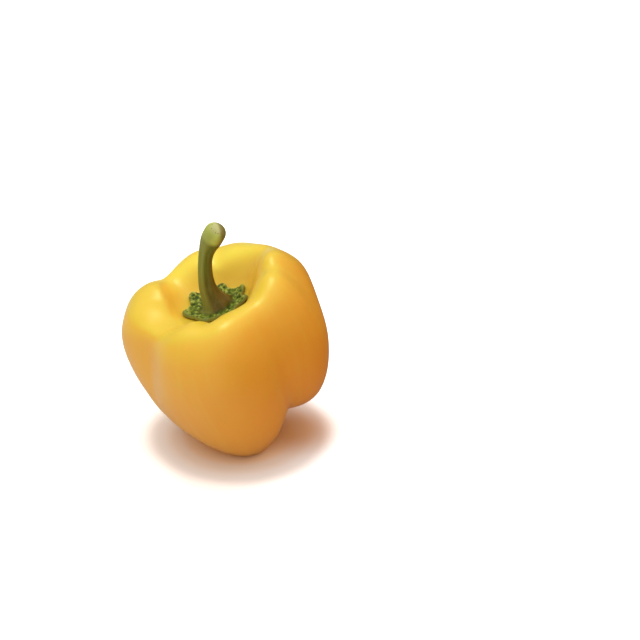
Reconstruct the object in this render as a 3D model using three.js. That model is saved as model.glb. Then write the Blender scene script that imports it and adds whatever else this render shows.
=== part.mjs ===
// A yellow bell pepper, as picked, standing on its lobes: the whole fruit with its four swollen lobes,
// and the green calyx that sits in its crown, grown in one piece with the ribbed, bent stem.
// Millimetres, +Z up. The fruit rests on z = 0 on three small flat feet; -Y is the side with the
// broad front lobe, +X the side whose lobe hangs clear of the surface.
import * as THREE from "three";

// Driving dimensions of the fruit, in its own upright frame, with the Z axis up through the stem.
const CROWN_HEIGHT = 79; // top of the shoulders over the blossom end's lowest feet
const SEAT_HEIGHT = 60.5; // the hollow in the crown that the calyx sits in
const SCAR_HEIGHT = 9; // the blossom scar, in the hollow between the feet
const FRUIT_RADIUS = 46.5; // over the lobes at their widest
const GROOVE_RADIUS = 41.5; // over the grooves at the same height

// How the fruit stands: it leans left and a little towards the front.
const LEAN_LEFT = 14.1;
const LEAN_FRONT = 1.3;
const AXIS_AT = { x: 11.15, y: 1.35, z: 4.1 }; // where the fruit's own origin stands in the part's frame

// Driving dimensions of the calyx and the stem.
const CALYX_TEETH = [30, 78, 137, 197, 259, 305, 352]; // each tooth's azimuth, in degrees
const CALYX_TOOTH_RADIUS = 15.4;
const CALYX_NOTCH_RADIUS = 12.4;
const CALYX_THICKNESS = 1.1;
const GAP = 0.3; // between the calyx and the skin
const STEM_RADIUS = 2.95;
const STEM_FOOT_RADIUS = 7.8;
const STEM_END_RADIUS = 4.8;

// Sampling.
const FRUIT_RINGS = 38;
const FRUIT_STEPS_PER_LOBE = 18;
const STEM_STEPS = CALYX_TEETH.length * 10;

const radians = THREE.MathUtils.degToRad;
const { lerp, smoothstep } = THREE.MathUtils;
const hump = (x, centre, width) => Math.exp(-(((x - centre) / width) ** 2));

// Uniform cubic B-spline through a list of rows, curvature-continuous, from its first row to its last.
function spline(rows, t) {
  const last = rows.length - 1;
  const at = THREE.MathUtils.clamp(t, 0, 1) * last;
  const i = Math.min(Math.floor(at), last - 1);
  const f = at - i;
  const row = (k) => {
    if (k < 0) return rows[0].map((v, j) => 2 * v - rows[1][j]);
    if (k > last) return rows[last].map((v, j) => 2 * v - rows[last - 1][j]);
    return rows[k];
  };
  const weights = [(1 - f) ** 3, 3 * f ** 3 - 6 * f ** 2 + 4, -3 * f ** 3 + 3 * f ** 2 + 3 * f + 1, f ** 3];
  return rows[0].map((_, j) => weights.reduce((sum, w, k) => sum + (w * row(i - 1 + k)[j]) / 6, 0));
}

// The fruit's outline from the seat, over the shoulder and down to the blossom scar, as
// [radius, height] and, on the groove, how rounded its bottom is. Both lists run side by side.
const LOBE_OUTLINE = [
  [0, SEAT_HEIGHT], [4.5, SEAT_HEIGHT - 0.3], [9, SEAT_HEIGHT - 0.3], [13.5, SEAT_HEIGHT + 0.7],
  [17, SEAT_HEIGHT + 5], [21, SEAT_HEIGHT + 12], [26.5, CROWN_HEIGHT], [33.5, CROWN_HEIGHT - 0.5],
  [41, CROWN_HEIGHT - 7.5], [FRUIT_RADIUS, 58], [FRUIT_RADIUS, 44], [42.5, 28], [36.5, 12],
  [29, -1], [20, -4.5], [12, 2], [6, SCAR_HEIGHT - 1.5], [0, SCAR_HEIGHT],
];
const GROOVE_OUTLINE = [
  [0, SEAT_HEIGHT, 0.5], [4.5, SEAT_HEIGHT - 0.3, 0.5], [9, SEAT_HEIGHT - 0.3, 0.5],
  [13, SEAT_HEIGHT + 0.7, 0.5], [17, SEAT_HEIGHT + 3.5, 0.5], [21.5, SEAT_HEIGHT + 8.5, 0.5],
  [27, CROWN_HEIGHT - 6.5, 0.5], [33, CROWN_HEIGHT - 8.5, 0.5], [38.5, CROWN_HEIGHT - 15.5, 0.42],
  [GROOVE_RADIUS, 53, 0.32], [GROOVE_RADIUS - 1, 40, 0.25], [36, 26, 0.2], [28.5, 14, 0.15],
  [20, SCAR_HEIGHT - 0.5, 0.12], [13, SCAR_HEIGHT - 1, 0.12], [8.5, SCAR_HEIGHT - 0.4, 0.2],
  [4, SCAR_HEIGHT, 0.4], [0, SCAR_HEIGHT, 0.5],
];

// Where along the outline, 0 to 1, each correction below acts, and over what width.
const INNER = [0.28, 0.05];
const CREST = [0.36, 0.09];
const WAIST = [0.53, 0.11];
const FLANK = [0.66, 0.09];
const FOOT = [0.8, 0.07];
const SHOULDER = [0.46, 0.09];

// Each groove: its azimuth in degrees at the crown, the shoulder, the flank and the foot, how much
// further out it stands at the waist and the flank, and higher at the crest, and how rounded it is.
const GROOVES = [
  { azimuth: [237, 216, 206, 200], waist: -4.5, flank: 3.1, crest: -4.4, round: 0.6 },
  { azimuth: [313, 308, 318, 353], waist: -3.3, flank: -2.2, crest: -0.5, round: 1 },
  { azimuth: [391, 404, 409, 406], waist: 5.5, flank: 0, crest: 3.6, round: 2 },
  { azimuth: [499, 493, 501, 501], waist: -6, flank: 0, crest: -2, round: 0.6 },
];
// The lobes in front, right, at the back and left; each follows the groove of its place in the list.
// How much further out each stands at the crest, the waist, the flank and the foot, and how much
// higher on the crest's inner slope, at the crest and at the foot. The tilt raises the crest towards the
// lobe's second groove, and the valley is the depth of the shallow dip that divides its shoulder in two.
const LOBES = [
  { out: [-0.9, 0.3, -1.6, -5.3], innerUp: -2, crestUp: -5.6, footUp: -1.5, tilt: -0.3, valley: 3.3 },
  { out: [-0.6, -3.9, 0.6, -4.5], innerUp: 0, crestUp: 0.3, footUp: 4.9, tilt: 3.8, valley: 3 },
  { out: [-4, -1.3, 0, 0], innerUp: 0.5, crestUp: -4.3, footUp: -1.9, tilt: 0.7, valley: 2.8 },
  { out: [-4.7, -1.6, -2, 4.4], innerUp: -0.8, crestUp: -5, footUp: 4.7, tilt: -6.8, valley: 1.7 },
];
const VALLEY_WIDTH = 0.26; // as a share of half the lobe
const VALLEY_IN = 0.8; // how far the valley sets the shoulder back, as a share of its depth

const grooveAzimuth = (i, s) =>
  radians(spline(GROOVES[i].azimuth.map((a) => [a]), (s - 0.3) / 0.6)[0]);

// The place on the skin at outline position s, on lobe i, at share u from -1 on its first groove to 1.
function skinPoint(s, i, u) {
  const lobe = LOBES[i];
  const [before, after] = [GROOVES[i], GROOVES[(i + 1) % GROOVES.length]];
  const [lobeRadius, lobeHeight] = spline(LOBE_OUTLINE, s);
  const [grooveRadius, grooveHeight, grooveRounding] = spline(GROOVE_OUTLINE, s);
  const side = smoothstep(u, -1, 1);
  const grooveBy = (name) => lerp(before[name], after[name], side);
  const rounding = grooveRounding * grooveBy("round");
  const arch = Math.hypot(Math.cos((Math.PI * u) / 2), rounding);
  const share = (arch - rounding) / (Math.hypot(1, rounding) - rounding);
  const valley = lobe.valley * hump(u, 0, VALLEY_WIDTH);
  const places = [CREST, WAIST, FLANK, FOOT].map((place) => hump(s, ...place));
  const [crest, waist, flank, foot] = places;

  const lobeOut = places.reduce((sum, place, k) => sum + lobe.out[k] * place, 0);
  const grooveOut = grooveBy("waist") * waist + grooveBy("flank") * flank;
  const radius =
    lerp(grooveRadius + grooveOut, lobeRadius + lobeOut, share) - VALLEY_IN * valley * hump(s, ...SHOULDER);
  const crestUp = (lobe.crestUp + lobe.tilt * u) * crest;
  const lobeUp = lobe.innerUp * hump(s, ...INNER) + crestUp + lobe.footUp * foot;
  const height =
    lerp(grooveHeight + grooveBy("crest") * crest, lobeHeight + lobeUp, share) - valley * crest;

  const start = grooveAzimuth(i, s);
  const end = i + 1 < GROOVES.length ? grooveAzimuth(i + 1, s) : grooveAzimuth(0, s) + 2 * Math.PI;
  const azimuth = lerp(start, end, (u + 1) / 2);
  return new THREE.Vector3(radius * Math.cos(azimuth), radius * Math.sin(azimuth), height);
}

// The same place by azimuth, for what sits on the skin.
function skinAt(s, azimuth) {
  const starts = GROOVES.map((_, i) => grooveAzimuth(i, s));
  const turned = THREE.MathUtils.euclideanModulo(azimuth - starts[0], 2 * Math.PI) + starts[0];
  const i = starts.findLastIndex((start) => start <= turned);
  const end = starts[i + 1] ?? starts[0] + 2 * Math.PI;
  return skinPoint(s, i, ((turned - starts[i]) / (end - starts[i])) * 2 - 1);
}

// A point over the seat, at that distance from the stem's axis, raised off the skin.
function overSkin(radius, azimuth, lift) {
  let [low, high] = [0, 0.3];
  for (let k = 0; k < 30; k++) {
    const middle = (low + high) / 2;
    const at = skinAt(middle, azimuth);
    if (Math.hypot(at.x, at.y) < radius) low = middle;
    else high = middle;
  }
  const step = 0.004;
  const inner = skinAt(Math.max(low - step, 0), azimuth);
  const outer = skinAt(low + step, azimuth);
  const slope = (outer.z - inner.z) / (Math.hypot(outer.x, outer.y) - Math.hypot(inner.x, inner.y));
  const normal = new THREE.Vector3(-slope * Math.cos(azimuth), -slope * Math.sin(azimuth), 1).normalize();
  return skinAt(low, azimuth).addScaledVector(normal, lift);
}

// Closes a list of rings, each a list of points in the same number, with a pole at either end.
function skinOver(firstPole, rings, lastPole) {
  const steps = rings[0].length;
  const points = [firstPole, ...rings.flat(), lastPole];
  const at = (ring, step) => 1 + ring * steps + (step % steps);
  const faces = [];
  for (let j = 0; j < steps; j++) {
    faces.push(0, at(0, j), at(0, j + 1));
    faces.push(points.length - 1, at(rings.length - 1, j + 1), at(rings.length - 1, j));
    for (let i = 0; i + 1 < rings.length; i++) {
      faces.push(at(i, j), at(i + 1, j), at(i + 1, j + 1));
      faces.push(at(i, j), at(i + 1, j + 1), at(i, j + 1));
    }
  }
  const geometry = new THREE.BufferGeometry().setFromPoints(points);
  return geometry.setIndex(faces);
}

const STANCE = new THREE.Matrix4()
  .makeRotationX(radians(LEAN_FRONT))
  .multiply(new THREE.Matrix4().makeRotationY(-radians(LEAN_LEFT)))
  .premultiply(new THREE.Matrix4().makeTranslation(AXIS_AT.x, AXIS_AT.y, AXIS_AT.z));

function fruitGeometry() {
  const rings = [];
  for (let k = 1; k < FRUIT_RINGS; k++) {
    const ring = [];
    for (let i = 0; i < LOBES.length; i++)
      for (let j = 0; j < FRUIT_STEPS_PER_LOBE; j++)
        ring.push(skinPoint(k / FRUIT_RINGS, i, (2 * j) / FRUIT_STEPS_PER_LOBE - 1));
    rings.push(ring);
  }
  const geometry = skinOver(
    new THREE.Vector3(0, 0, SEAT_HEIGHT), rings, new THREE.Vector3(0, 0, SCAR_HEIGHT),
  );
  geometry.applyMatrix4(STANCE);
  // Its own weight flattens each foot a little where it meets the surface.
  const position = geometry.attributes.position;
  for (let i = 0; i < position.count; i++) position.setZ(i, Math.max(position.getZ(i), 0));
  return geometry;
}

// The calyx: a thin plate pressed onto the seat, with pointed teeth whose edge curls up between them,
// a rib from each tooth to the stem, and puckers all over.
function toothShare(azimuth) {
  const turn = THREE.MathUtils.euclideanModulo(THREE.MathUtils.radToDeg(azimuth) - CALYX_TEETH[0], 360);
  const starts = CALYX_TEETH.map((tooth) => tooth - CALYX_TEETH[0]);
  const i = starts.findLastIndex((start) => start <= turn);
  const end = starts[i + 1] ?? 360;
  return Math.cos((Math.PI * (turn - starts[i])) / (end - starts[i])) ** 2;
}
const calyxRadius = (azimuth) =>
  lerp(CALYX_NOTCH_RADIUS, CALYX_TOOTH_RADIUS, toothShare(azimuth) ** 1.6) +
  0.35 * Math.sin(3 * azimuth + 1);

function calyxRelief(share, azimuth) {
  const rib = 0.7 * toothShare(azimuth) ** 3;
  const pucker =
    0.45 * Math.sin(21 * azimuth + 9 * share + 2 * Math.sin(5 * azimuth)) *
    Math.sin(17 * share + 3 * Math.sin(4 * azimuth + 1));
  const curl = 0.9 * (1 - toothShare(azimuth)) * smoothstep(share, 0.7, 1);
  return (rib + pucker) * smoothstep(share, 0.35, 0.6) * (1 - 0.5 * smoothstep(share, 0.85, 1)) + curl;
}

const CALYX_UNDERSIDE = [0.3, 0.6, 0.8, 0.93];
const CALYX_EDGE = [[0.985, 0.1, 0.3], [1, 0.45, 0.9]];
const CALYX_UPPER_SIDE = [0.975, 0.92, 0.86, 0.8, 0.74, 0.68, 0.62];

// The stem's middle line over the seat: up along the fruit's axis, then bent right and forwards.
const STEM_LINE = [
  [1.4, -0.8, 0], [-0.1, -0.3, 5], [-1, 0, 10.5], [-0.3, 0, 15.5], [0.7, -0.1, 20.3], [2.2, -0.4, 25],
  [4.3, -0.9, 29.4], [7, -2, 33.4], [10, -3.9, 37.3],
].map(([x, y, z]) => [x, y, SEAT_HEIGHT + z]);
// The stem's radius along the same line, from its flared foot to the knob at its cut end.
const STEM_SWELL = [
  STEM_FOOT_RADIUS, 4.7, 3.7, 3.2, STEM_RADIUS, STEM_RADIUS, 3.5, STEM_END_RADIUS, STEM_END_RADIUS - 0.2,
].map((r) => [r]);
const STEM_RINGS = 20;
const STEM_RIB_DEPTH = 0.09; // as a share of its radius
// The rounded end: shares of the end's radius, and how far each rises.
const STEM_DOME = [[0.93, 1.3], [0.76, 2.5], [0.42, 3.5]];
const STEM_DOME_RISE = 3.8;

function stemAndCalyxGeometry() {
  const azimuths = Array.from({ length: STEM_STEPS }, (_, j) => (2 * Math.PI * j) / STEM_STEPS);
  const rings = [];
  const plateRing = (share, lift) =>
    rings.push(azimuths.map((a) => overSkin(calyxRadius(a) * share, a, GAP + lift(share, a))));
  // Underside outwards, round the edge in two steps, then the upper side inwards, by share of its radius.
  for (const share of CALYX_UNDERSIDE) plateRing(share, () => 0);
  for (const [share, rise, curl] of CALYX_EDGE) plateRing(share, (s, a) => rise + curl * calyxRelief(1, a));
  for (const share of CALYX_UPPER_SIDE) plateRing(share, (s, a) => CALYX_THICKNESS + calyxRelief(s, a));

  // The stem: rings square to its middle line, whose ribs run on from the calyx's.
  const lineAt = (t) => new THREE.Vector3(...spline(STEM_LINE, t));
  const frame = new THREE.Quaternion();
  let ahead = new THREE.Vector3(0, 0, 1);
  for (let k = 0; k <= STEM_RINGS; k++) {
    const t = lerp(0.05, 1, k / STEM_RINGS);
    const tangent = lineAt(Math.min(t + 0.01, 1)).sub(lineAt(t - 0.01)).normalize();
    frame.premultiply(new THREE.Quaternion().setFromUnitVectors(ahead, tangent));
    ahead = tangent;
    const radius = spline(STEM_SWELL, t)[0];
    const ribDepth = STEM_RIB_DEPTH * (1 - smoothstep(t, 0.7, 0.95));
    rings.push(
      azimuths.map((a) => {
        const r = radius * (1 - ribDepth * (1 - toothShare(a)));
        return new THREE.Vector3(r * Math.cos(a), r * Math.sin(a), 0).applyQuaternion(frame).add(lineAt(t));
      }),
    );
  }
  // The cut end, healed into a low dome.
  const end = lineAt(1);
  const dome = (share, rise) =>
    azimuths.map((a) => {
      const r = STEM_END_RADIUS * share;
      return new THREE.Vector3(r * Math.cos(a), r * Math.sin(a), rise).applyQuaternion(frame).add(end);
    });
  for (const [share, rise] of STEM_DOME) rings.push(dome(share, rise));
  const tip = new THREE.Vector3(0, 0, STEM_DOME_RISE).applyQuaternion(frame).add(end);
  const geometry = skinOver(tip, rings.reverse(), overSkin(0, 0, GAP));
  return geometry.applyMatrix4(STANCE);
}

function part(name, geometry, color, roughness) {
  const mesh = new THREE.Mesh(geometry, new THREE.MeshStandardMaterial({ color, roughness, metalness: 0 }));
  mesh.name = name;
  return mesh;
}

const pepper = new THREE.Group();
pepper.add(part("fruit", fruitGeometry(), 0xf2b02a, 0.25));
pepper.add(part("stem_with_calyx", stemAndCalyxGeometry(), 0x5f7a2c, 0.55));

export default pepper;
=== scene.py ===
"""A ripe yellow bell pepper, standing with a lean on its lobes, in soft studio light."""
import math

import bpy
import numpy as np
from mathutils import Matrix, Vector, noise


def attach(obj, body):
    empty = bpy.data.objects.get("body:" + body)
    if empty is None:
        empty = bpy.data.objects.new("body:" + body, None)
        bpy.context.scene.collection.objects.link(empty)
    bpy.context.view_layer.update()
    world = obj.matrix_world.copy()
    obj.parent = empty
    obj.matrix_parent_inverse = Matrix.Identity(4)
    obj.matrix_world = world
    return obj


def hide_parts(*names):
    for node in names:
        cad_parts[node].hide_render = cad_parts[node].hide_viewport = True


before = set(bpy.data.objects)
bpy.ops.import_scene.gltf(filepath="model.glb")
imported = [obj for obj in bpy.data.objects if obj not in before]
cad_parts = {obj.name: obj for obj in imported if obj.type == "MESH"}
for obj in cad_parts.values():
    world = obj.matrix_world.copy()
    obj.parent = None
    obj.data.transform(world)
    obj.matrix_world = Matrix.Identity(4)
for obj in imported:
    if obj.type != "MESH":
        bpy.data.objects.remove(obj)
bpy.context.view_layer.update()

MM = 0.001

# The fruit in its own upright frame, in millimetres, with Z up through the stem.
CROWN_HEIGHT = 79
SEAT_HEIGHT = 60.5
SCAR_HEIGHT = 9
FRUIT_RADIUS = 46.5
GROOVE_RADIUS = 41.5

# How it stands: it leans left and a little towards the front.
LEAN_LEFT = 14.1
LEAN_FRONT = 1.3
AXIS_AT = (11.15, 1.35, 4.1)

# The calyx and the stem, in millimetres.
CALYX_TEETH = (30, 78, 137, 197, 259, 305, 352)
CALYX_TOOTH_RADIUS = 15.4
CALYX_NOTCH_RADIUS = 12.4
CALYX_THICKNESS = 1.1
CALYX_WAVER = 0.35
TOOTH_SHARPNESS = 1.6
GAP = 0.3
STEM_RADIUS = 2.95
STEM_FOOT_RADIUS = 7.8
STEM_END_RADIUS = 4.8
STEM_DOME = ((0.93, 1.3), (0.76, 2.5), (0.42, 3.5))
STEM_DOME_RISE = 3.8
STEM_RIB_SHARE = 0.09
# The side of the stem painted lighter, as if lit; its far side is painted shaded.
STEM_LIT_SIDE = math.radians(205)
BUNDLE_RISE = 3.05
BUNDLE_COUNT = 14

# Low relief, in millimetres: how high each kind stands, and the size of its grain.
SWELL_HEIGHT, SWELL_SIZE = 0.28, 15
FINE_SWELL_HEIGHT, FINE_SWELL_SIZE = 0.04, 6
SWELL_INSET = 0.06
RIM_HEIGHT, RIM_SIZE = 0.06, 3.5
PUCKER_HEIGHT, PUCKER_SIZE = 0.35, 1.2
SCAR_RADIUS = 4
CALYX_CURL = 0.9
CRINKLE_HEIGHT, CRINKLE_SIZE, CRINKLE_FINE_SIZE = 0.55, 1.5, 0.8
VEIN_HEIGHT = 0.7
RIDGE_HEIGHT, RIDGE_COUNT, RIDGE_SIZE = 0.16, 6, 14
FOLD_COUNT, FOLD_SIZE = 26, 5

# How finely the surfaces are drawn.
FRUIT_RINGS = 218
FRUIT_STEPS_PER_LOBE = 108
STEM_STEPS = 322
STEM_RINGS = 20
STEM_FINE_RINGS = 300

# The camera: where the photograph was taken from.
PHOTO_SIDE = 640
CAMERA_ELEVATION = math.radians(30)
CAMERA_DISTANCE = 0.9
LENS = 115
SENSOR = 36
ANCHOR = Vector((7.4 * MM, -0.15 * MM, 0))
ANCHOR_PIXEL = (245, 432)

# The shadow painted on the floor: its middle, how far it reaches, and the darkest place in it, in metres.
SHADE_AT = (0.005, -0.001, 0)
SHADE_REACH = 0.047
DEEP_SHADE_AT = (0.03, 0.002, 0)
FLOOR_HALF_SIDE = 4.0

# The lamp, in metres and watts, and the sides that the surroundings' light comes from.
LAMP_AT = (-0.05, 0.17, 1.15)
LAMP_AIM = (0, 0, 0.04)
LAMP_SIZE = 0.5
LAMP_POWER = 3.0
WINDOW_SIDE = (-0.36, -0.5, 0.78)
OVERHEAD = (0.1, 0.1, 0.99)
WARM_SIDE = (0.95, 0.1, -0.3)

# The side that the skin is painted lighter and yellower on, as if lit: up and to the left.
LIT_SIDE = (-0.3, 0, 0.95)

# The crown's back wall, painted lighter as if lit: its place on the outline, and how far back it starts and
# is full, in millimetres.
LIT_BACK_WALL = (0.3, 0.12)
LIT_BACK_FROM, LIT_BACK_FULL = 5, 26


def spline(rows, t):
    """A uniform cubic B-spline through rows of numbers, at each share t of the way along it."""
    rows = np.asarray(rows, float)
    before = 2 * rows[:1] - rows[1:2]
    after = 2 * rows[-1:] - rows[-2:-1]
    rows = np.concatenate([before, rows, after])
    at = np.clip(np.asarray(t, float), 0, 1) * (len(rows) - 3)
    i = np.minimum(at.astype(int), len(rows) - 4)
    f = (at - i).reshape(at.shape + (1,) * (rows.ndim - 1))
    weights = ((1 - f) ** 3, 3 * f**3 - 6 * f**2 + 4, -3 * f**3 + 3 * f**2 + 3 * f + 1, f**3)
    return sum(w * rows[i + k] for k, w in enumerate(weights)) / 6


def hump(x, centre, width):
    return np.exp(-(((x - centre) / width) ** 2))


def ease(x, low, high):
    t = np.clip((x - low) / (high - low), 0, 1)
    return t * t * (3 - 2 * t)


def mix(a, b, share):
    return a + (b - a) * share


# Radius and height along a lobe's middle, and along a groove, from the seat over the crown to the scar.
LOBE_OUTLINE = [
    (0, SEAT_HEIGHT), (4.5, SEAT_HEIGHT - 0.3), (9, SEAT_HEIGHT - 0.3), (13.5, SEAT_HEIGHT + 0.7),
    (17, SEAT_HEIGHT + 5), (21, SEAT_HEIGHT + 12), (26.5, CROWN_HEIGHT), (33.5, CROWN_HEIGHT - 0.5),
    (41, CROWN_HEIGHT - 7.5), (FRUIT_RADIUS, 58), (FRUIT_RADIUS, 44), (42.5, 28), (36.5, 12),
    (29, -1), (20, -4.5), (12, 2), (6, SCAR_HEIGHT - 1.5), (0, SCAR_HEIGHT),
]
# The groove's third number says how round the skin turns into it, from sharp at 0.
GROOVE_OUTLINE = [
    (0, SEAT_HEIGHT, 0.5), (4.5, SEAT_HEIGHT - 0.3, 0.5), (9, SEAT_HEIGHT - 0.3, 0.5),
    (13, SEAT_HEIGHT + 0.7, 0.5), (17, SEAT_HEIGHT + 3.5, 0.5), (21.5, SEAT_HEIGHT + 8.5, 0.5),
    (27, CROWN_HEIGHT - 6.5, 0.5), (33, CROWN_HEIGHT - 8.5, 0.5), (38.5, CROWN_HEIGHT - 15.5, 0.42),
    (GROOVE_RADIUS, 53, 0.32), (GROOVE_RADIUS - 1, 40, 0.25), (36, 26, 0.2), (28.5, 14, 0.15),
    (20, SCAR_HEIGHT - 0.5, 0.12), (13, SCAR_HEIGHT - 1, 0.12), (8.5, SCAR_HEIGHT - 0.4, 0.2),
    (4, SCAR_HEIGHT, 0.4), (0, SCAR_HEIGHT, 0.5),
]

# Places on the outline, from 0 at the seat to 1 at the scar, with how far each one's change reaches.
INNER = (0.28, 0.05)
CREST = (0.36, 0.09)
SHOULDER = (0.46, 0.09)
WAIST = (0.53, 0.11)
FLANK = (0.66, 0.09)
FOOT = (0.8, 0.07)

# Each groove's azimuth from crown to foot, in degrees, and its changes at those places, in millimetres.
GROOVES = [
    dict(azimuth=(237, 216, 206, 200), waist=-4.5, flank=3.1, crest=-4.4, round=0.6),
    dict(azimuth=(313, 308, 318, 353), waist=-3.3, flank=-2.2, crest=-0.5, round=1),
    dict(azimuth=(391, 404, 409, 406), waist=5.5, flank=0, crest=3.6, round=2),
    dict(azimuth=(499, 493, 501, 501), waist=-6, flank=0, crest=-2, round=0.6),
]
# Each lobe's changes: outwards at crest, waist, flank and foot, then upwards, and its valley's depth.
LOBES = [
    dict(out=(-0.9, 0.3, -1.6, -5.3), inner_up=-2, crest_up=-5.6, foot_up=-1.5, tilt=-0.3, valley=3.3),
    dict(out=(-0.6, -3.9, 0.6, -4.5), inner_up=0, crest_up=0.3, foot_up=4.9, tilt=3.8, valley=3),
    dict(out=(-4, -1.3, 0, 0), inner_up=0.5, crest_up=-4.3, foot_up=-1.9, tilt=0.7, valley=2.8),
    dict(out=(-4.7, -1.6, -2, 4.4), inner_up=-0.8, crest_up=-5, foot_up=4.7, tilt=-6.8, valley=1.7),
]
VALLEY_WIDTH = 0.26


def groove_azimuth(i, s):
    return np.radians(spline(GROOVES[i]["azimuth"], (s - 0.3) / 0.6))


def lobe_points(s, i, u):
    """The skin of lobe i, at each place s on its outline and each share u from groove to groove."""
    lobe, before, after = LOBES[i], GROOVES[i], GROOVES[(i + 1) % len(GROOVES)]
    outline = spline(LOBE_OUTLINE, s)
    groove = spline(GROOVE_OUTLINE, s)
    side = ease(u, -1, 1)
    rounding = groove[..., 2] * mix(before["round"], after["round"], side)
    arch = np.hypot(np.cos(np.pi * u / 2), rounding)
    share = (arch - rounding) / (np.hypot(1, rounding) - rounding)
    crest, waist, flank, foot = (hump(s, *place) for place in (CREST, WAIST, FLANK, FOOT))
    valley = lobe["valley"] * hump(u, 0, VALLEY_WIDTH)

    groove_out = sum(
        mix(before[name], after[name], side) * place for name, place in (("waist", waist), ("flank", flank))
    )
    lobe_out = sum(out * place for out, place in zip(lobe["out"], (crest, waist, flank, foot)))
    radius = mix(groove[..., 0] + groove_out, outline[..., 0] + lobe_out, share)
    radius = radius - 0.8 * valley * hump(s, *SHOULDER)
    groove_up = mix(before["crest"], after["crest"], side) * crest
    lobe_up = (lobe["crest_up"] + lobe["tilt"] * u) * crest + lobe["foot_up"] * foot
    lobe_up = lobe_up + lobe["inner_up"] * hump(s, *INNER)
    height = mix(groove[..., 1] + groove_up, outline[..., 1] + lobe_up, share) - valley * crest

    start = groove_azimuth(i, s)
    end = groove_azimuth(i + 1, s) if i + 1 < len(GROOVES) else groove_azimuth(0, s) + 2 * np.pi
    azimuth = mix(start, end, (u + 1) / 2)
    return np.stack([radius * np.cos(azimuth), radius * np.sin(azimuth), height], -1)


def skin_at(s, azimuth):
    """The skin at each outline place s and azimuth, given as arrays of one shape."""
    first = groove_azimuth(0, s)
    starts = [groove_azimuth(i, s) - first for i in range(len(GROOVES))] + [np.full_like(s, 2 * np.pi)]
    turned = np.mod(azimuth - first, 2 * np.pi)
    points = np.zeros(s.shape + (3,))
    for i in range(len(GROOVES)):
        here = (turned >= starts[i]) & (turned < starts[i + 1])
        u = (turned - starts[i]) / (starts[i + 1] - starts[i]) * 2 - 1
        points[here] = lobe_points(s[here], i, u[here])
    return points


def over_skin(radius, azimuth, lift):
    """Points over the seat, at that distance from the axis, raised off the skin."""
    low, high = np.zeros_like(radius), np.full_like(radius, 0.3)
    for _ in range(30):
        middle = (low + high) / 2
        at = skin_at(middle, azimuth)
        inside = np.hypot(at[..., 0], at[..., 1]) < radius
        low = np.where(inside, middle, low)
        high = np.where(inside, high, middle)
    step = 0.004
    inner = skin_at(np.maximum(low - step, 0), azimuth)
    outer = skin_at(low + step, azimuth)
    run = np.hypot(outer[..., 0], outer[..., 1]) - np.hypot(inner[..., 0], inner[..., 1])
    slope = (outer[..., 2] - inner[..., 2]) / run
    normal = np.stack([-slope * np.cos(azimuth), -slope * np.sin(azimuth), np.ones_like(slope)], -1)
    normal /= np.linalg.norm(normal, axis=-1, keepdims=True)
    return skin_at(low, azimuth) + normal * np.asarray(lift)[..., None]


STANCE = (
    Matrix.Rotation(math.radians(LEAN_FRONT), 3, "X") @ Matrix.Rotation(-math.radians(LEAN_LEFT), 3, "Y")
)


def stand(points):
    """From the fruit's own frame to the row's frame, in metres."""
    return (points @ np.array(STANCE).T + AXIS_AT) * MM


def noise_at(points, size, seed=0):
    """Smooth noise from -1 to 1, of that grain size, at each point."""
    flat = points.reshape(-1, 3) / size + seed * 17.3
    return np.array([noise.noise(p) for p in flat.tolist()]).reshape(points.shape[:-1])


def grid_normals(points, up):
    """Unit normals of rings of points, ring by step, turned to the side that up is on."""
    along = np.gradient(points, axis=0)
    around = np.roll(points, -1, axis=1) - np.roll(points, 1, axis=1)
    normals = np.cross(along, around) * up
    return normals / np.maximum(np.linalg.norm(normals, axis=-1, keepdims=True), 1e-9)


def closed_mesh(name, first_pole, rings, last_pole, attributes):
    """A closed mesh over rings of points from pole to pole, with each attribute's value at every point."""
    count, steps = rings.shape[:2]
    points = np.concatenate([[first_pole], rings.reshape(-1, 3), [last_pole]])
    at = 1 + np.arange(count * steps).reshape(count, steps)
    nxt = np.roll(at, -1, axis=1)
    quads = np.stack([at[:-1], at[1:], nxt[1:], nxt[:-1]], -1).reshape(-1, 4)
    caps = [(0, a, b) for a, b in zip(at[0], nxt[0])]
    caps += [(len(points) - 1, b, a) for a, b in zip(at[-1], nxt[-1])]
    mesh = bpy.data.meshes.new(name)
    mesh.from_pydata(points.tolist(), [], quads.tolist() + caps)
    for key, values in attributes.items():
        layer = mesh.attributes.new(key, "FLOAT", "POINT")
        full = np.concatenate([[values[0].mean()], values.reshape(-1), [values[-1].mean()]])
        layer.data.foreach_set("value", full.astype(np.float32))
    mesh.shade_smooth()
    piece = bpy.data.objects.new(name, mesh)
    bpy.context.scene.collection.objects.link(piece)
    return piece


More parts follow.
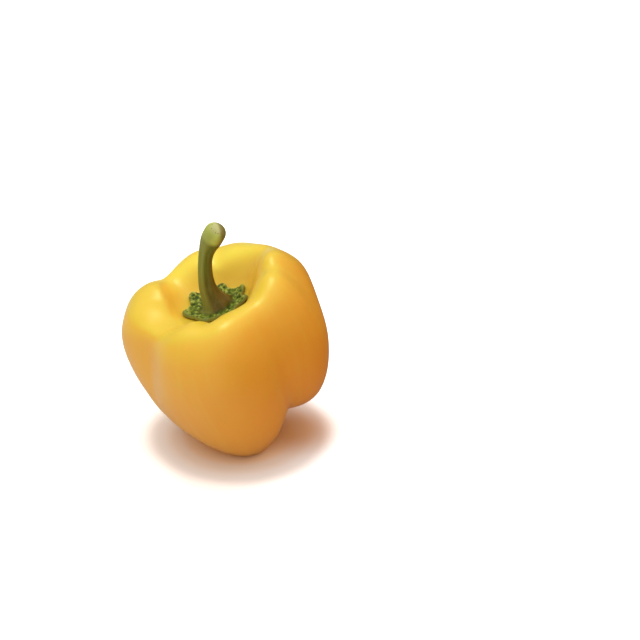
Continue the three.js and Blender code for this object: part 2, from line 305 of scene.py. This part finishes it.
def make_fruit():
    s = np.arange(1, FRUIT_RINGS)[:, None] / FRUIT_RINGS
    u = np.arange(FRUIT_STEPS_PER_LOBE)[None, :] / FRUIT_STEPS_PER_LOBE * 2 - 1
    s_grid, u_grid = np.broadcast_arrays(s, u)
    points = np.concatenate([lobe_points(s_grid, i, u_grid) for i in range(len(LOBES))], axis=1)
    along = np.broadcast_to(s, points.shape[:2])
    off_groove = np.tile(1 - np.abs(u), (len(s), len(LOBES)))
    around = np.arange(points.shape[1]) / FRUIT_STEPS_PER_LOBE
    around = np.broadcast_to(around[None, :], points.shape[:2])

    outward = grid_normals(points, 1)
    swell = SWELL_HEIGHT * noise_at(points, SWELL_SIZE) - SWELL_INSET
    swell = swell + FINE_SWELL_HEIGHT * noise_at(points, FINE_SWELL_SIZE, seed=1)
    rims = hump(s, 0.22, 0.06) * RIM_HEIGHT * noise_at(points * (1, 1, 0.3), RIM_SIZE, seed=2)
    scar = hump(np.linalg.norm(points - (0, 0, SCAR_HEIGHT), axis=-1), 0, SCAR_RADIUS) * (s > 0.8)
    pucker = PUCKER_HEIGHT * scar * noise_at(points, PUCKER_SIZE, seed=3)
    points = points + outward * (swell * ease(s, 0.1, 0.3) + rims + pucker)[..., None]

    points = stand(points)
    points[..., 2] = np.maximum(points[..., 2], 0)
    # How far the skin faces the lit side, which sets its painted light and shade.
    lit_facing = grid_normals(points, 1) @ np.array(LIT_SIDE)
    # The crown's back wall, where the skin is painted lighter as if lit.
    painted_back_light = hump(s, *LIT_BACK_WALL) * ease(points[..., 1] / MM, LIT_BACK_FROM, LIT_BACK_FULL)
    first = stand(np.array([0, 0, SEAT_HEIGHT]))
    last = stand(np.array([0, 0, SCAR_HEIGHT]))
    return closed_mesh(
        "pepper_fruit", first, points, last,
        dict(along=along, off_groove=off_groove, around=around, scar=scar, lit_facing=lit_facing, painted_back_light=painted_back_light),
    )


def tooth_share(azimuth):
    """1 along each tooth's middle, 0 in the notches between them."""
    teeth = np.array(CALYX_TEETH) - CALYX_TEETH[0]
    turn = np.mod(np.degrees(azimuth) - CALYX_TEETH[0], 360)
    ends = np.append(teeth, 360)
    i = np.clip(np.searchsorted(teeth, turn, side="right") - 1, 0, len(teeth) - 1)
    return np.cos(np.pi * (turn - ends[i]) / (ends[i + 1] - ends[i])) ** 2


def calyx_radius(azimuth):
    return (
        mix(CALYX_NOTCH_RADIUS, CALYX_TOOTH_RADIUS, tooth_share(azimuth) ** TOOTH_SHARPNESS)
        + CALYX_WAVER * np.sin(3 * azimuth + 1)
    )


# The stem's middle line and its radius, from foot to end, in millimetres.
STEM_LINE = np.array([
    (1.4, -0.8, 0), (-0.1, -0.3, 5), (-1, 0, 10.5), (-0.3, 0, 15.5), (0.7, -0.1, 20.3), (2.2, -0.4, 25),
    (4.3, -0.9, 29.4), (7, -2, 33.4), (10, -3.9, 37.3),
]) + (0, 0, SEAT_HEIGHT)
STEM_SWELL = [
    STEM_FOOT_RADIUS, 4.7, 3.7, 3.2, STEM_RADIUS, STEM_RADIUS, 3.5, STEM_END_RADIUS, STEM_END_RADIUS - 0.2,
]


def make_stem():
    azimuths = np.arange(STEM_STEPS) / STEM_STEPS * 2 * np.pi
    teeth = tooth_share(azimuths)
    rings, facts = [], []

    def plate_ring(share, lift, plate):
        rings.append(over_skin(calyx_radius(azimuths) * share, azimuths, GAP + lift + 0 * azimuths))
        facts.append((plate, 0, share, 0))

    curl = CALYX_CURL * (1 - teeth)
    for share in (0.3, 0.6, 0.8, 0.93):
        plate_ring(share, 0, 0)
    plate_ring(0.985, 0.1 + 0.3 * curl, 0.3)
    plate_ring(1, 0.45 + 0.9 * curl, 0.6)
    for share in (0.975, 0.92, 0.86, 0.8, 0.74, 0.68, 0.62):
        plate_ring(share, CALYX_THICKNESS + curl * ease(share, 0.7, 1), 1)

    ahead = Vector((0, 0, 1))
    turn = Matrix.Identity(3)
    circle = np.stack([np.cos(azimuths), np.sin(azimuths), 0 * azimuths], -1)
    for k in range(STEM_RINGS + 1):
        t = mix(0.05, 1, k / STEM_RINGS)
        tangent = Vector(spline(STEM_LINE, min(t + 0.01, 1)) - spline(STEM_LINE, t - 0.01)).normalized()
        turn = ahead.rotation_difference(tangent).to_matrix() @ turn
        ahead = tangent
        ribs = STEM_RIB_SHARE * (1 - ease(t, 0.7, 0.95)) * (1 - teeth)
        radius = spline(STEM_SWELL, t) * (1 - ribs)
        rings.append((circle * radius[:, None]) @ np.array(turn).T + spline(STEM_LINE, t))
        facts.append((max(0, 0.4 - 0.2 * k), t, 0.5, 0))
    end = spline(STEM_LINE, 1)
    for share, rise in STEM_DOME:
        flat = circle * STEM_END_RADIUS * share + (0, 0, rise)
        rings.append(flat @ np.array(turn).T + end)
        facts.append((0, 1, 0, 1 - share))
    tip = np.array([0, 0, STEM_DOME_RISE]) @ np.array(turn).T + end

    t = np.arange(STEM_FINE_RINGS) / (STEM_FINE_RINGS - 1)
    points = spline(np.array(rings), t)
    plate, rise, edge, face = (np.broadcast_to(f[:, None], points.shape[:2]) for f in spline(facts, t).T)
    outward = grid_normals(points, -1)
    grain = points * (1, 1, 0.6)
    folds = np.sin(azimuths * FOLD_COUNT + 5 * noise_at(points, FOLD_SIZE, seed=8))
    lumps = 0.9 * noise_at(grain, CRINKLE_SIZE, seed=5) + 0.6 * noise_at(grain, CRINKLE_FINE_SIZE, seed=6)
    crinkle = np.clip(0.5 + lumps + 0.16 * folds, 0, 1.1)
    veins = VEIN_HEIGHT * teeth[None, :] ** 3
    on_plate = plate * ease(plate, 0.5, 1)
    ridges = RIDGE_HEIGHT * np.sin(azimuths * RIDGE_COUNT + 2 * noise_at(points, RIDGE_SIZE, seed=7))
    ridges = ridges * (1 - plate) * (1 - ease(rise, 0.6, 0.85))
    points = points + outward * (on_plate * (CRINKLE_HEIGHT * crinkle + veins) + ridges)[..., None]

    # How far each place faces the stem's lit side, for its painted light and shade.
    lit_side = np.broadcast_to(np.cos(azimuths - STEM_LIT_SIDE), points.shape[:2])
    values = dict(
        plate=plate, rise=rise, edge=edge, face=face, crinkle=on_plate * crinkle, lit_side=lit_side,
    )
    bottom = over_skin(np.array([0.01]), np.array([0.0]), np.array([GAP]))[0]
    # Drawn from the tip down, so its faces point outwards.
    piece = closed_mesh(
        "pepper_stem", stand(tip), stand(points)[::-1], stand(bottom),
        {key: value[::-1] for key, value in values.items()},
    )
    end_frame = Matrix.Translation(stand(end)) @ (STANCE @ turn).to_4x4()
    return piece, end_frame


def bundle_ring_tree(surface):
    """Geometry Nodes: a ring of small flat dots, a little uneven."""
    tree = bpy.data.node_groups.new("bundle_ring", "GeometryNodeTree")
    sizes = dict(ring_radius=2.5 * MM, dot_radius=0.24 * MM, unevenness=0.22 * MM)
    counts = dict(count=12, seed=4)
    for name, value in sizes.items():
        tree.interface.new_socket(name, in_out="INPUT", socket_type="NodeSocketFloat").default_value = value
    for name, value in counts.items():
        tree.interface.new_socket(name, in_out="INPUT", socket_type="NodeSocketInt").default_value = value
    tree.interface.new_socket("Geometry", in_out="OUTPUT", socket_type="NodeSocketGeometry")
    given = tree.nodes.new("NodeGroupInput").outputs

    circle = add(tree, "GeometryNodeMeshCircle", Vertices=given["count"], Radius=given["ring_radius"])
    strayed = add(
        tree, "FunctionNodeRandomValue", dict(data_type="FLOAT_VECTOR"),
        _0=(-1.0, -1.0, 0.0), _1=(1.0, 1.0, 0.0), Seed=given["seed"],
    ).outputs[0]
    offset = add(
        tree, "ShaderNodeVectorMath", dict(operation="SCALE"), _0=strayed, Scale=given["unevenness"],
    ).outputs[0]
    moved = add(tree, "GeometryNodeSetPosition", Geometry=circle.outputs[0], Offset=offset)
    dot = add(tree, "GeometryNodeMeshIcoSphere", Radius=given["dot_radius"], Subdivisions=3)
    placed = add(
        tree, "GeometryNodeInstanceOnPoints", Points=moved.outputs[0], Instance=dot.outputs[0],
        Scale=(1.0, 1.0, 0.5),
    )
    whole = add(tree, "GeometryNodeRealizeInstances", Geometry=placed.outputs[0])
    smooth = add(tree, "GeometryNodeSetShadeSmooth", Geometry=whole.outputs[0])
    done = add(tree, "GeometryNodeSetMaterial", Geometry=smooth.outputs[0], Material=surface)
    add(tree, "NodeGroupOutput", Geometry=done.outputs[0])
    return tree


def make_bundles(surface, end_frame):
    """The stem's vessels, seen as a ring of brown dots on its healed end."""
    tree = bundle_ring_tree(surface)
    maker = bpy.data.objects.new("bundle_maker", bpy.data.meshes.new("bundle_maker"))
    bpy.context.scene.collection.objects.link(maker)
    modifier = maker.modifiers.new("bundle_ring", "NODES")
    modifier.node_group = tree
    count = next(socket for socket in tree.interface.items_tree if socket.name == "count")
    modifier[count.identifier] = BUNDLE_COUNT
    graph = bpy.context.evaluated_depsgraph_get()
    mesh = bpy.data.meshes.new_from_object(maker.evaluated_get(graph))
    bpy.data.objects.remove(maker)
    mesh.transform(end_frame @ Matrix.Translation((0, 0, BUNDLE_RISE * MM)))
    piece = bpy.data.objects.new("stem_bundles", mesh)
    bpy.context.scene.collection.objects.link(piece)
    return piece


def material(name):
    made = bpy.data.materials.new(name)
    made.use_nodes = True
    made.node_tree.nodes.clear()
    return made, made.node_tree


def add(tree, kind, settings=None, **inputs):
    """A new node, with its inputs set by name, to a value or from another node's output."""
    made = tree.nodes.new(kind)
    for key, value in (settings or {}).items():
        setattr(made, key, value)
    for key, value in inputs.items():
        socket = made.inputs[int(key[1:])] if key[0] == "_" else made.inputs[key.replace("_", " ")]
        if isinstance(value, bpy.types.NodeSocket):
            tree.links.new(value, socket)
        else:
            socket.default_value = value
    return made


def ramp(tree, value, stops):
    """A colour for each value, easing from stop to stop."""
    made = add(tree, "ShaderNodeValToRGB", Fac=value)
    made.color_ramp.interpolation = "EASE"
    elements = made.color_ramp.elements
    while len(elements) < len(stops):
        elements.new(0.5)
    for element, (place, colour) in zip(elements, stops):
        element.position = place
        element.color = (*colour, 1)
    return made.outputs["Color"]


def blend_colour(tree, factor, first, second):
    """The first colour, or the second where the factor is 1; each is a socket or three numbers."""
    made = add(tree, "ShaderNodeMix", dict(data_type="RGBA"), _0=factor)
    for index, value in ((6, first), (7, second)):
        if isinstance(value, bpy.types.NodeSocket):
            tree.links.new(value, made.inputs[index])
        else:
            made.inputs[index].default_value = (*value, 1)
    return made.outputs[2]


def calculate(tree, kind, first, second=0.0, third=0.0, clamp=False):
    made = add(tree, "ShaderNodeMath", dict(operation=kind, use_clamp=clamp), _0=first, _1=second, _2=third)
    return made.outputs[0]


def scaled(tree, value, factor):
    return calculate(tree, "MULTIPLY", value, factor)


def reading(tree, name):
    return add(tree, "ShaderNodeAttribute", dict(attribute_name=name)).outputs["Fac"]


def distance_from(tree, place, point):
    return add(
        tree, "ShaderNodeVectorMath", dict(operation="DISTANCE"), _0=place, _1=point,
    ).outputs["Value"]


def grey(level):
    return (level, level, level)


BLACK = grey(0)
WHITE = grey(1)

LEMON = (0.86, 0.59, 0.045)
GOLD = (0.93, 0.52, 0.045)
AMBER = (0.96, 0.46, 0.045)
ORANGE = (0.96, 0.41, 0.04)
LIT_LEMON = (1, 0.8, 0.07)
STREAK = (0.93, 0.66, 0.1)
FLECK = (0.95, 0.7, 0.2)
SCAR_BROWN = (0.25, 0.13, 0.04)

STEM_FOOT_BROWN = (0.14, 0.09, 0.009)
STEM_LOW_BROWN = (0.13, 0.1, 0.011)
STEM_OLIVE = (0.15, 0.17, 0.022)
STEM_NECK_GREEN = (0.17, 0.19, 0.03)
STEM_END_GREEN = (0.54, 0.6, 0.12)
STEM_FIBRE = (0.3, 0.32, 0.08)
STEM_PAINTED_LIGHT = (0.33, 0.34, 0.06)
STEM_SHADED = (0.15, 0.09, 0.01)
STEM_HEALED = (0.56, 0.53, 0.27)
BUNDLE_BROWN = (0.17, 0.12, 0.04)
LEAF_PIT_SHADE = (0.05, 0.08, 0.003)
LEAF_DEEP = (0.11, 0.15, 0.006)
LEAF_MIDDLE = (0.2, 0.25, 0.018)
LEAF_TOP_LIGHT = (0.42, 0.46, 0.08)
LEAF_EDGE = (0.38, 0.4, 0.11)


def pepper_skin():
    """Thin waxy skin, with painted light and shade: yellower where it faces up and left, more orange where
    it faces away, lighter on the crown's back wall and more orange near the grooves; with faint streaks and
    flecks.
    """
    made, tree = material("pepper_skin")
    place = add(tree, "ShaderNodeTexCoord").outputs["Object"]
    broad = add(tree, "ShaderNodeTexNoise", Vector=place, Scale=28.0, Detail=3.0).outputs[0]
    # Painted light and shade: yellower towards the lit side, more orange away from it, with some random
    # tone.
    lit_and_tone = calculate(tree, "MULTIPLY_ADD", reading(tree, "lit_facing"), 0.7, 0.25)
    lit_and_tone = calculate(tree, "ADD", lit_and_tone, scaled(tree, broad, 0.2))
    base = ramp(tree, lit_and_tone, [(0.05, ORANGE), (0.5, AMBER), (0.76, GOLD), (0.98, LEMON)])
    # Painted light: the crown's back wall lighter and paler yellow.
    base = blend_colour(tree, scaled(tree, reading(tree, "painted_back_light"), 0.85), base, LIT_LEMON)

    # Painted shade and bounced light: the skin more orange near the grooves.
    groove_shade = ramp(tree, reading(tree, "off_groove"), [(0.0, WHITE), (0.16, BLACK)])
    base = blend_colour(tree, scaled(tree, groove_shade, 0.12), base, AMBER)

    streak_at = add(
        tree, "ShaderNodeCombineXYZ",
        X=scaled(tree, reading(tree, "around"), 16.0), Y=scaled(tree, reading(tree, "along"), 4.0),
    ).outputs[0]
    streaks = add(tree, "ShaderNodeTexNoise", Vector=streak_at, Scale=1.0, Detail=2.0).outputs[0]
    streaks = ramp(tree, streaks, [(0.45, BLACK), (0.75, WHITE)])
    base = blend_colour(tree, scaled(tree, streaks, 0.12), base, STREAK)

    flecks = add(tree, "ShaderNodeTexVoronoi", Vector=place, Scale=900.0).outputs["Distance"]
    flecks = ramp(tree, flecks, [(0.0, WHITE), (0.22, BLACK)])
    base = blend_colour(tree, scaled(tree, flecks, 0.12), base, FLECK)
    base = blend_colour(tree, reading(tree, "scar"), base, SCAR_BROWN)

    grain = add(tree, "ShaderNodeTexNoise", Vector=place, Scale=1100.0, Detail=2.0).outputs[0]
    soft = add(tree, "ShaderNodeTexNoise", Vector=place, Scale=160.0, Detail=2.0).outputs[0]
    relief = calculate(tree, "ADD", scaled(tree, grain, 0.1), soft)
    bump = add(tree, "ShaderNodeBump", Strength=0.05, Distance=0.0006, Height=relief).outputs[0]
    roughness = add(
        tree, "ShaderNodeMapRange", Value=soft, From_Min=0.3, From_Max=0.7, To_Min=0.29, To_Max=0.34,
    ).outputs[0]

    shader = add(
        tree, "ShaderNodeBsdfPrincipled", Base_Color=base, Roughness=roughness, Normal=bump,
        Subsurface_Weight=0.15, Subsurface_Radius=(1.0, 0.4, 0.08), Subsurface_Scale=0.003,
        Specular_IOR_Level=0.8, Specular_Tint=(1, 0.93, 0.5, 1), Coat_Weight=0.03, Coat_Roughness=0.2,
    )
    add(tree, "ShaderNodeOutputMaterial", Surface=shader.outputs[0])
    return made


def green_stem():
    """Brown at its foot and green at its end, painted lighter on its lit side and shaded on the other; the
    calyx painted dark in its folds and light on its lumps, with a paler edge.
    """
    made, tree = material("green_stem")
    place = add(tree, "ShaderNodeTexCoord").outputs["Object"]
    stem = ramp(tree, reading(tree, "rise"), [
        (0.0, STEM_FOOT_BROWN), (0.25, STEM_LOW_BROWN), (0.55, STEM_OLIVE), (0.89, STEM_NECK_GREEN),
        (0.97, STEM_END_GREEN),
    ])
    long_grain = add(tree, "ShaderNodeMapping", Vector=place, Scale=(700.0, 700.0, 70.0)).outputs[0]
    fibres = add(tree, "ShaderNodeTexNoise", Vector=long_grain, Scale=1.0, Detail=3.0).outputs[0]
    stem = blend_colour(tree, ramp(tree, fibres, [(0.45, BLACK), (0.8, grey(0.3))]), stem, STEM_FIBRE)
    # Painted light and shade: the stem lighter on its lit side and darker brown on the far side.
    side = calculate(tree, "MULTIPLY_ADD", reading(tree, "lit_side"), 0.5, 0.5)
    stem = blend_colour(tree, ramp(tree, side, [(0.7, BLACK), (0.92, grey(0.6))]), stem, STEM_PAINTED_LIGHT)
    stem = blend_colour(tree, ramp(tree, side, [(0.25, grey(0.8)), (0.62, BLACK)]), stem, STEM_SHADED)

    # Painted shade in the calyx's pits and painted light on its lumps.
    leaf = ramp(tree, reading(tree, "crinkle"), [
        (0.0, LEAF_PIT_SHADE), (0.35, LEAF_DEEP), (0.7, LEAF_MIDDLE), (1.0, LEAF_TOP_LIGHT),
    ])
    on_plate = ramp(tree, reading(tree, "plate"), [(0.35, BLACK), (0.9, WHITE)])
    base = blend_colour(tree, on_plate, stem, leaf)
    rim = ramp(tree, reading(tree, "edge"), [(0.93, BLACK), (1.0, WHITE)])
    base = blend_colour(tree, scaled(tree, rim, 0.4), base, LEAF_EDGE)

    # The healed end's own pale colour, kept mostly to the lit side as painted light.
    healed = ramp(tree, reading(tree, "face"), [(0.15, BLACK), (0.75, grey(0.8))])
    healed = scaled(tree, healed, ramp(tree, side, [(0.1, grey(0.2)), (0.55, WHITE)]))
    base = blend_colour(tree, healed, base, STEM_HEALED)

    bump = add(tree, "ShaderNodeBump", Strength=0.3, Distance=0.0004, Height=fibres).outputs[0]
    shader = add(
        tree, "ShaderNodeBsdfPrincipled", Base_Color=base, Roughness=0.45, Normal=bump,
        Subsurface_Weight=0.1, Subsurface_Radius=(0.5, 1.0, 0.2), Subsurface_Scale=0.0015,
        Specular_IOR_Level=0.22,
    )
    add(tree, "ShaderNodeOutputMaterial", Surface=shader.outputs[0])
    return made


def brown_bundle():
    made, tree = material("brown_bundle")
    shader = add(tree, "ShaderNodeBsdfPrincipled", Base_Color=(*BUNDLE_BROWN, 1), Roughness=0.7)
    add(tree, "ShaderNodeOutputMaterial", Surface=shader.outputs[0])
    return made


def white_floor():
    """White to the camera, with a shadow painted round the fruit; to the fruit it is white on the left, and
    painted warm and dim on the right for shade and bounced light.
    """
    made, tree = material("white_floor")
    place = add(tree, "ShaderNodeTexCoord").outputs["Object"]
    across = add(tree, "ShaderNodeSeparateXYZ", Vector=place).outputs["X"]
    # Painted shade seen by the fruit: the floor warm and dim on the right, and dimmer in its reflections.
    side = add(
        tree, "ShaderNodeMapRange", Value=across, From_Min=-0.02, From_Max=0.12, To_Min=0.0, To_Max=1.0,
    ).outputs[0]
    around = blend_colour(tree, side, grey(0.72), (0.5, 0.2, 0.05))
    path = add(tree, "ShaderNodeLightPath").outputs
    dimmed = calculate(tree, "MULTIPLY_ADD", side, 0.57, 0.28)
    around = blend_colour(tree, scaled(tree, path["Is Glossy Ray"], dimmed), around, BLACK)

    # Painted shadow and warm bounced light, tight round where the fruit stands, with painted deep shade to
    # its right.
    away = distance_from(tree, place, SHADE_AT)
    shade = ramp(tree, scaled(tree, away, 1 / SHADE_REACH), [
        (0.3, (1.05, 0.62, 0.26)), (0.45, (1.04, 0.78, 0.53)), (0.58, (0.96, 0.85, 0.74)),
        (0.74, (1.02, 0.99, 0.96)), (0.93, grey(1.5)),
    ])
    deep = add(
        tree, "ShaderNodeMapRange", dict(interpolation_type="SMOOTHSTEP"),
        Value=distance_from(tree, place, DEEP_SHADE_AT),
        From_Min=0.004, From_Max=0.026, To_Min=0.75, To_Max=0.0,
    ).outputs[0]
    shade = blend_colour(tree, deep, shade, (0.68, 0.3, 0.07))
    base = blend_colour(tree, path["Is Camera Ray"], around, shade)
    shader = add(tree, "ShaderNodeBsdfDiffuse", Color=base)
    add(tree, "ShaderNodeOutputMaterial", Surface=shader.outputs[0])
    return made


def make_floor():
    side = FLOOR_HALF_SIDE
    mesh = bpy.data.meshes.new("floor")
    corners = [(-side, -side, 0), (side, -side, 0), (side, side, 0), (-side, side, 0)]
    mesh.from_pydata(corners, [], [(0, 1, 2, 3)])
    floor = bpy.data.objects.new("floor", mesh)
    bpy.context.scene.collection.objects.link(floor)
    mesh.materials.append(white_floor())


def make_lamp():
    data = bpy.data.lights.new("overhead", "AREA")
    data.shape = "DISK"
    data.size = LAMP_SIZE
    data.energy = LAMP_POWER
    data.color = (1, 0.99, 0.97)
    lamp = bpy.data.objects.new("overhead", data)
    lamp.location = LAMP_AT
    lamp.rotation_euler = (Vector(LAMP_AIM) - Vector(LAMP_AT)).to_track_quat("-Z", "Y").to_euler()
    bpy.context.scene.collection.objects.link(lamp)


def make_light():
    """One soft lamp overhead and bright surroundings, warm low on the right, and white to the camera."""
    make_lamp()
    world = bpy.data.worlds.new("studio")
    bpy.context.scene.world = world
    world.use_nodes = True
    tree = world.node_tree
    towards = add(tree, "ShaderNodeTexCoord").outputs["Generated"]

    def facing(direction, low, high, at_low, at_high):
        """A value that rises evenly with how far each direction agrees with that one."""
        agreed = add(
            tree, "ShaderNodeVectorMath", dict(operation="DOT_PRODUCT"), _0=towards, _1=direction,
        ).outputs["Value"]
        return add(
            tree, "ShaderNodeMapRange", Value=agreed,
            From_Min=low, From_Max=high, To_Min=at_low, To_Max=at_high,
        ).outputs[0]

    path = add(tree, "ShaderNodeLightPath").outputs
    mirrored = calculate(tree, "MULTIPLY_ADD", path["Is Glossy Ray"], -0.5, 1.0)
    glow = facing(WINDOW_SIDE, -0.6, 1.0, 0.28, 0.76)
    glow = calculate(tree, "ADD", glow, facing(OVERHEAD, 0.3, 1.0, 0.0, 0.64))
    glow = calculate(tree, "MAXIMUM", scaled(tree, glow, mirrored), path["Is Camera Ray"])
    warm = facing(WARM_SIDE, 0.2, 0.9, 0.0, 1.0)
    warm = calculate(tree, "SUBTRACT", warm, path["Is Camera Ray"], clamp=True)
    tint = blend_colour(tree, warm, WHITE, (0.9, 0.6, 0.35))
    tree.links.new(tint, tree.nodes["Background"].inputs["Color"])
    tree.links.new(glow, tree.nodes["Background"].inputs["Strength"])
    bpy.context.scene.view_settings.view_transform = "Standard"


def make_camera():
    """Stands so that the anchor falls on its pixel, CAMERA_DISTANCE ahead of the camera."""
    data = bpy.data.cameras.new("camera")
    data.lens = LENS
    data.sensor_width = SENSOR
    focal = LENS / SENSOR * PHOTO_SIDE
    ahead = Vector((0, math.cos(CAMERA_ELEVATION), -math.sin(CAMERA_ELEVATION)))
    right = Vector((1, 0, 0))
    up = right.cross(ahead)
    across = (ANCHOR_PIXEL[0] - PHOTO_SIDE / 2) / focal
    above = (PHOTO_SIDE / 2 - ANCHOR_PIXEL[1]) / focal
    camera = bpy.data.objects.new("camera", data)
    camera.location = ANCHOR - (ahead + right * across + up * above) * CAMERA_DISTANCE
    camera.rotation_euler = (math.pi / 2 - CAMERA_ELEVATION, 0, 0)
    bpy.context.scene.collection.objects.link(camera)
    bpy.context.scene.camera = camera


make_camera()
make_light()
make_floor()

fruit = make_fruit()
fruit.data.materials.append(pepper_skin())
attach(fruit, "root")
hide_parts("fruit")

stem, stem_end = make_stem()
stem.data.materials.append(green_stem())
bundles = make_bundles(brown_bundle(), stem_end)
for piece in (stem, bundles):
    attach(piece, "root")
    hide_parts("stem_with_calyx")
